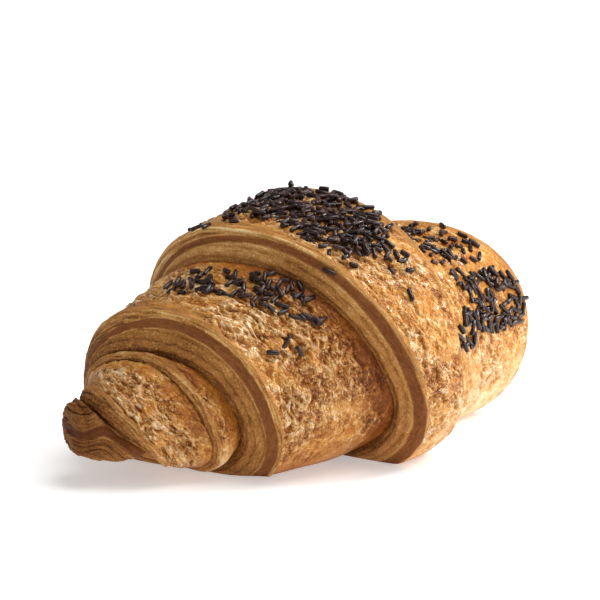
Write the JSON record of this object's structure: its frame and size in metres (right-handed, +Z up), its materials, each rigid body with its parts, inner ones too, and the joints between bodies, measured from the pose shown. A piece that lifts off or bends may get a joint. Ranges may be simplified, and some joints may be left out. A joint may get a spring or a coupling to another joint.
{
  "type": "chocolate croissant",
  "caption": "Crescent of rolled flaky dough with stepped wraps, layered cut faces and chocolate sprinkles fused to its crust.",
  "frame": {"origin": "middle of the footprint at the height of the table it rests on", "axes": "+X runs from the tip that faces the picture's left to the other tip, +Z is up, and the convex side of the crescent faces -Y"},
  "size_m": [0.1314, 0.0838, 0.0612],
  "materials": {
    "baked_crust": "glazed flaky golden-brown crust with brown layered cut faces",
    "chocolate_sprinkles": "satin dark chocolate"
  },
  "bodies": {
    "root": {"croissant": "baked_crust"}
  },
  "joints": []
}
